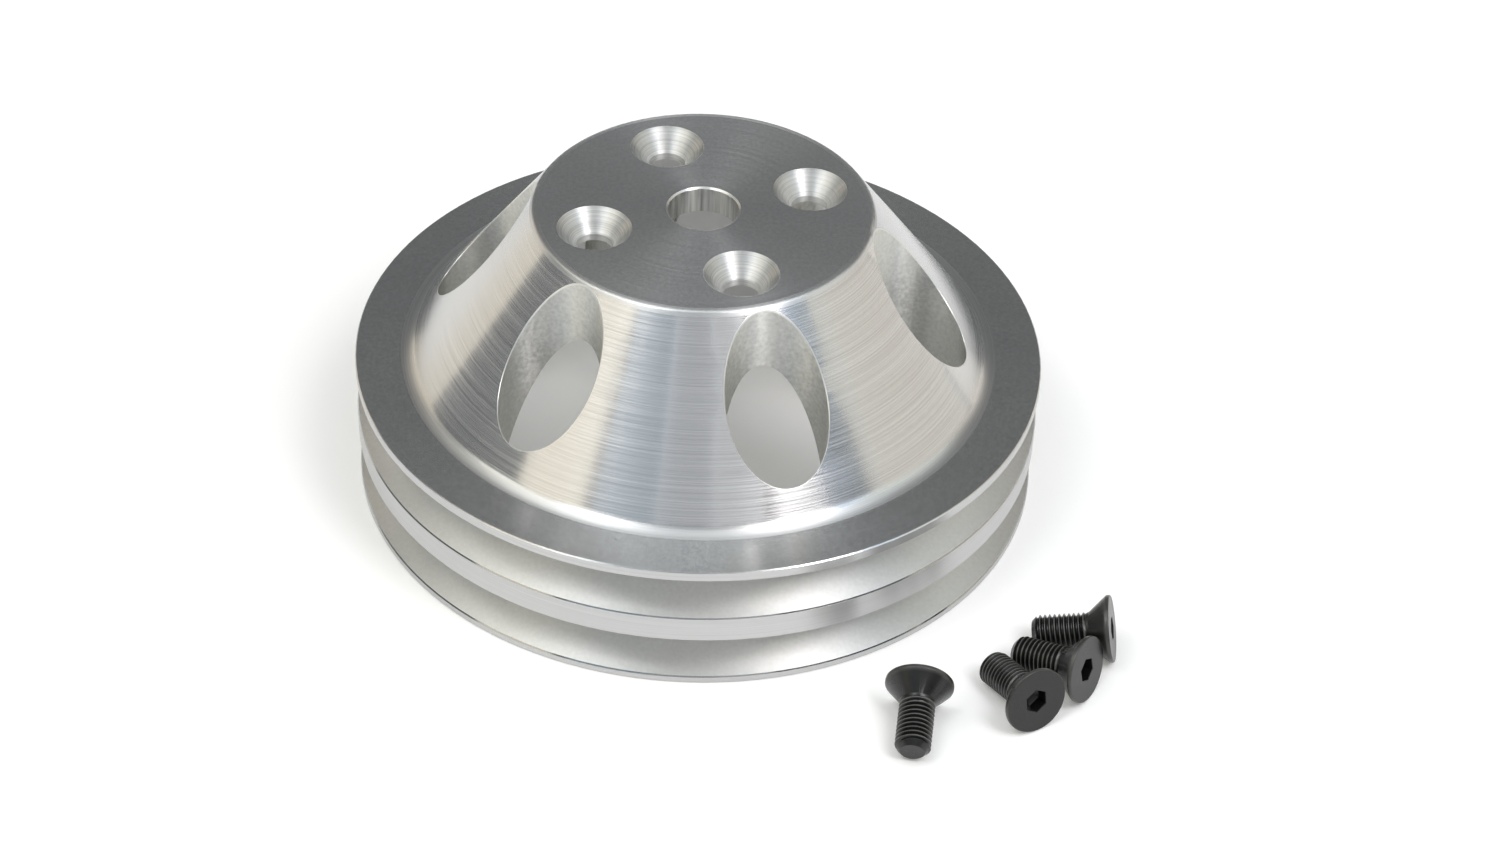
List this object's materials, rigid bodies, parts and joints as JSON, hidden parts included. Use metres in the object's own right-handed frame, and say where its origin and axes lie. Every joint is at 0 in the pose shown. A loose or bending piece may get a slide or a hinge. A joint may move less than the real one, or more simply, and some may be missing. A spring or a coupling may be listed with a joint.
{
  "type": "water pump pulley",
  "caption": "Turned aluminium V-belt pulley with belt grooves and a windowed cone with a countersunk nose, for a water pump hub, with its flat-head screws lying loose beside it.",
  "frame": {"origin": "centre of the hub seat, the flat back of the nose plate that clamps against the pump's hub", "axes": "+Z along the pulley's axis towards its nose; the loose screws lie towards +X and -Y"},
  "size_m": [0.173, 0.1806, 0.0702],
  "materials": {
    "turned_aluminium": "bare machined billet aluminium with fine turning marks, bright edge breaks",
    "black_oxide_steel": "black oxide, satin, slightly oiled"
  },
  "bodies": {
    "pulley": {"pulley": "turned_aluminium"},
    "screw_1": {"screw_1": "black_oxide_steel"},
    "screw_2": {"screw_2": "black_oxide_steel"},
    "screw_3": {"screw_3": "black_oxide_steel"},
    "screw_4": {"screw_4": "black_oxide_steel"}
  },
  "joints": [
    {"name": "screw_1_lift", "type": "slide", "parent": "pulley", "child": "screw_1", "axis": [0, 0, 1], "range_m": [0, 0.08]},
    {"name": "screw_2_lift", "type": "slide", "parent": "pulley", "child": "screw_2", "axis": [0, 0, 1], "range_m": [0, 0.08]},
    {"name": "screw_3_lift", "type": "slide", "parent": "pulley", "child": "screw_3", "axis": [0, 0, 1], "range_m": [0, 0.08]},
    {"name": "screw_4_lift", "type": "slide", "parent": "pulley", "child": "screw_4", "axis": [0, 0, 1], "range_m": [0, 0.08]}
  ]
}
